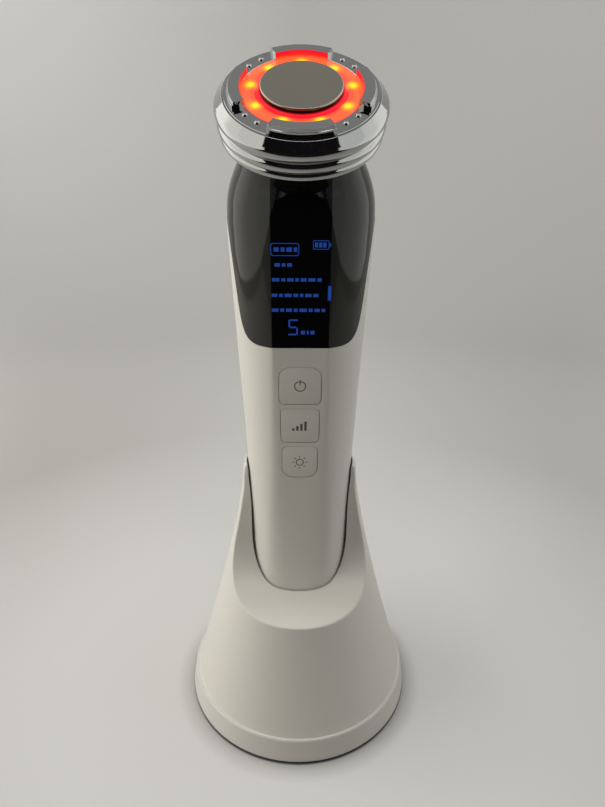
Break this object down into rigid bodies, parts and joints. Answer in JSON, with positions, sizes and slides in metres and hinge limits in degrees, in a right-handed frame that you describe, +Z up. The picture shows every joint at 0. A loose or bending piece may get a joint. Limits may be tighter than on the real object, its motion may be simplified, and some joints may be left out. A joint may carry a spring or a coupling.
{
  "type": "facial toning device",
  "caption": "Handheld facial toning device with a tilted chrome head, lit ring and cold plate, standing in a flared charging stand.",
  "frame": {"origin": "centre of the stand's underside, on the surface that the rubber feet stand on", "axes": "+Z up along the stand's axis; -Y is the front, where the buttons and display are; +X to the viewer's right"},
  "size_m": [0.09, 0.09, 0.2396],
  "materials": {
    "shell_white": "satin",
    "base_white": "satin",
    "button_white": "satin",
    "cover_black": "gloss",
    "chrome_bezel": "polished",
    "chrome_face": "polished",
    "strip_silver": "polished",
    "plate_steel": "satin",
    "light_lens": "gloss",
    "rubber_dark": "matte",
    "rubber_grey": "matte",
    "ballast_iron": "matte",
    "screw_steel": "satin",
    "spring_steel": "polished",
    "contact_gold": "polished",
    "inlet_steel": "satin",
    "tongue_black": "matte",
    "board_green": "satin",
    "chip_black": "matte",
    "switch_steel": "satin",
    "lead_red": "satin",
    "display_glass": "gloss",
    "inner_grey": "matte",
    "inner_white": "matte",
    "cell_blue": "satin",
    "motor_steel": "satin",
    "weight_tungsten": "satin",
    "cooler_ceramic": "matte",
    "sink_aluminium": "satin",
    "led_amber": "gloss",
    "flex_amber": "satin"
  },
  "bodies": {
    "stand": {"stand_shell": "shell_white", "stand_base": "base_white", "stand_feet": "rubber_dark", "base_screws": "screw_steel", "ballast": "ballast_iron", "dock_plate": "inner_white", "dock_screws": "screw_steel", "dock_board": "board_green", "contact_barrels": "contact_gold", "contact_spring_left": "spring_steel", "contact_spring_right": "spring_steel", "inlet_board": "board_green", "inlet_screws": "screw_steel", "inlet_shell": "inlet_steel", "inlet_tongue": "tongue_black", "dock_leads": "lead_red"},
    "handset": {"front_shell": "shell_white", "rear_shell": "shell_white", "display_cover": "cover_black", "side_strips": "strip_silver", "bottom_cap": "inner_white", "cap_screws": "screw_steel", "charge_pads": "contact_gold", "pad_leads": "lead_red", "main_board": "board_green", "board_screws": "screw_steel", "board_chips": "chip_black", "tact_switches": "switch_steel", "buzzer": "chip_black", "display_module": "display_glass", "display_bracket": "inner_grey", "battery": "cell_blue", "battery_cradle": "inner_white", "battery_leads": "lead_red", "motor_can": "motor_steel", "motor_clip": "inner_white", "head_bezel": "chrome_bezel", "face_ring": "chrome_face", "segments": "chrome_face", "probe_dots": "chrome_face", "light_ring": "light_lens", "cold_plate": "plate_steel", "plate_seal": "rubber_grey", "cooling_module": "cooler_ceramic", "heat_sink": "sink_aluminium", "led_board": "board_green", "leds": "led_amber", "head_carrier": "inner_grey", "head_screws": "screw_steel", "neck_gasket": "rubber_dark", "head_flex": "flex_amber"},
    "contact_pin_left": {"contact_pin_left": "contact_gold"},
    "contact_pin_right": {"contact_pin_right": "contact_gold"},
    "mode_button": {"mode_button": "button_white"},
    "level_button": {"level_button": "button_white"},
    "light_button": {"light_button": "button_white"},
    "motor_weight": {"motor_weight": "weight_tungsten"}
  },
  "joints": [
    {"name": "handset_lift", "type": "slide", "parent": "stand", "child": "handset", "axis": [0, 0, 1], "range_m": [0, 0.09]},
    {"name": "contact_left_travel", "type": "slide", "parent": "stand", "child": "contact_pin_left", "axis": [0, 0, 1], "range_m": [-0.0006, 0], "stiffness_N_per_m": 300, "deforming": ["contact_spring_left"]},
    {"name": "contact_right_travel", "type": "slide", "parent": "stand", "child": "contact_pin_right", "axis": [0, 0, 1], "range_m": [-0.0006, 0], "stiffness_N_per_m": 300, "deforming": ["contact_spring_right"]},
    {"name": "mode_button_press", "type": "slide", "parent": "handset", "child": "mode_button", "axis": [0, 1, 0], "range_m": [0, 0.0004], "stiffness_N_per_m": 800},
    {"name": "level_button_press", "type": "slide", "parent": "handset", "child": "level_button", "axis": [0, 1, 0], "range_m": [0, 0.0004], "stiffness_N_per_m": 800},
    {"name": "light_button_press", "type": "slide", "parent": "handset", "child": "light_button", "axis": [0, 1, 0], "range_m": [0, 0.0004], "stiffness_N_per_m": 800},
    {"name": "motor_spin", "type": "hinge", "parent": "handset", "child": "motor_weight", "pos_m": [0, 0.01139, 0.15], "axis": [0, 0, 1], "continuous": true}
  ]
}
